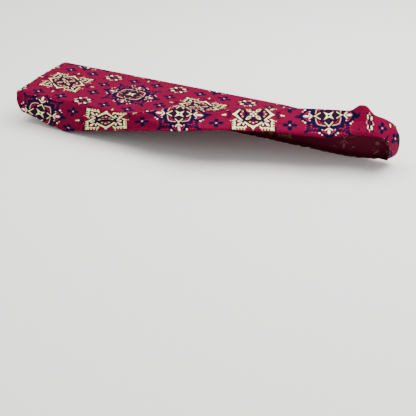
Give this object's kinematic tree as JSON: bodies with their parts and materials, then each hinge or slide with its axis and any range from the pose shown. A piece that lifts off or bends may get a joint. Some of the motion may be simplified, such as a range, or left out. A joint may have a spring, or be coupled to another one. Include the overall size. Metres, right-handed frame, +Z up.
{
  "type": "piano keyboard cover",
  "caption": "Long fitted dust cover of printed stretch knit: an oblong top panel sewn to a skirt with an elastic hem, slipped back over the top at one end.",
  "frame": {"origin": "middle of the underside of the top panel", "axes": "+X along the cover's length, to the right as a player sees it, +Y to the back, +Z up"},
  "size_m": [1.27, 0.2803, 0.1799],
  "materials": {
    "printed_knit_top": "crimson stretch knit with a soft sheen, printed with cream and navy medallions and florets",
    "printed_knit_skirt": "crimson stretch knit with a soft sheen, printed with cream and navy medallions and florets, with a turned and stitched elastic hem"
  },
  "bodies": {
    "root": {"top_panel": "printed_knit_top", "skirt": "printed_knit_skirt"}
  },
  "joints": []
}
